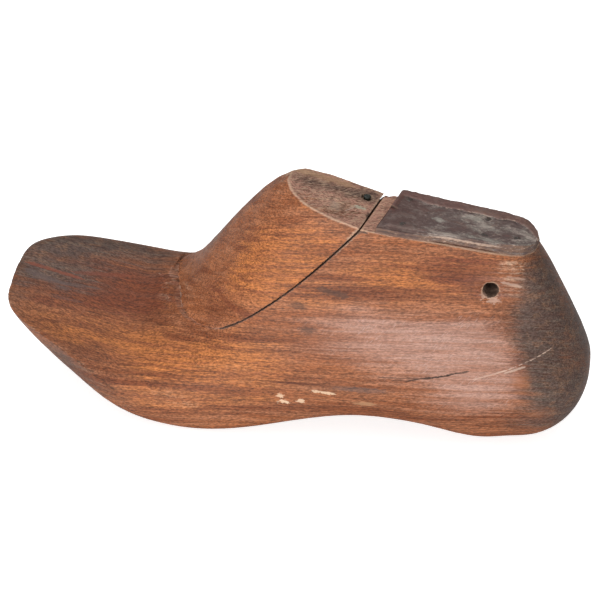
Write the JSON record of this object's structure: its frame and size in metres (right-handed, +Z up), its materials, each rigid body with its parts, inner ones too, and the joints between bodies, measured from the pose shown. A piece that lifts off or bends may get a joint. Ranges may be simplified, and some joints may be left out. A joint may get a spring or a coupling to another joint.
{
  "type": "shoe last",
  "caption": "Wooden shoe last for a left foot, with a lift-off scoop shaped instep block, a nailed leather heel top and a cord hole through the heel.",
  "frame": {"origin": "on the ground plane under the middle of the last's length and width", "axes": "+X from the toe to the heel, +Y to the inner side of the foot, +Z up from the sole"},
  "size_m": [0.279, 0.0918, 0.1186],
  "materials": {
    "body_wood": "worn, polished by handling",
    "block_wood": "worn, orange brown",
    "dowel_wood": "raw hardwood",
    "heel_leather": "dark, scuffed and dry",
    "tarnished_brass": "green tarnish",
    "tack_iron": "dark iron"
  },
  "bodies": {
    "body": {"last_body": "body_wood", "heel_top_leather": "heel_leather", "front_locating_dowel": "dowel_wood", "rear_locating_dowel": "dowel_wood", "leather_tack_1": "tack_iron", "leather_tack_2": "tack_iron", "leather_tack_3": "tack_iron", "leather_tack_4": "tack_iron", "leather_tack_5": "tack_iron"},
    "block": {"instep_block": "block_wood"},
    "pin": {"block_locking_pin": "tarnished_brass"}
  },
  "joints": [
    {"name": "block_lift", "type": "slide", "parent": "body", "child": "block", "axis": [0, 0, 1], "range_m": [0, 0.06]},
    {"name": "pin_draw", "type": "slide", "parent": "block", "child": "pin", "axis": [0, 0, 1], "range_m": [0, 0.045]}
  ]
}
